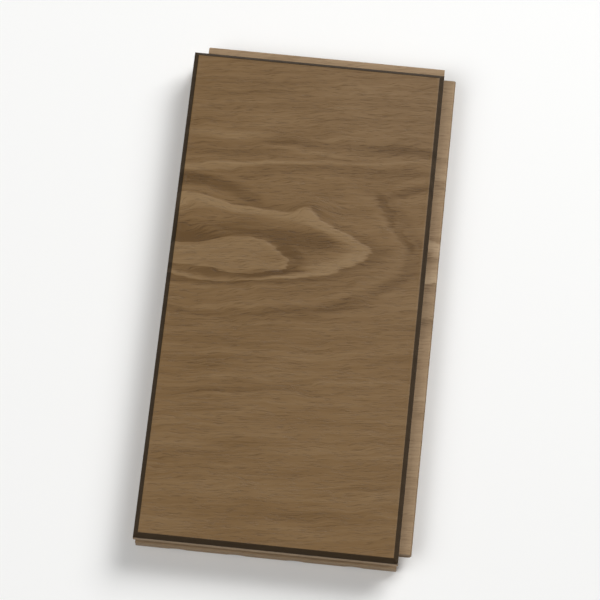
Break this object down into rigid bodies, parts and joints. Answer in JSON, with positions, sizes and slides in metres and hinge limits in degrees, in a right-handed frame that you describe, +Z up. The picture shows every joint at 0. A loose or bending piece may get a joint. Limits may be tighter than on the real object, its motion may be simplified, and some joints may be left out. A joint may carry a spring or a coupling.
{
  "type": "wooden plank",
  "caption": "Short solid oak floor plank with a bevelled wear face, tongued and grooved edges and ends, and shallow channels along its underside; laid in staggered rows.",
  "frame": {"origin": "middle of the underside of the plank's body, tongues left out, on the land between the two middle channels", "axes": "+X across the plank towards the tongued long edge, +Y along the plank towards the tongued end, +Z up, out of the wear face"},
  "size_m": [0.131, 0.256, 0.02],
  "materials": {
    "oak": "brown oak, satin lacquer on the face, dark stained bevels, bare planed wood below"
  },
  "bodies": {
    "root": {"plank": "oak"}
  },
  "joints": []
}
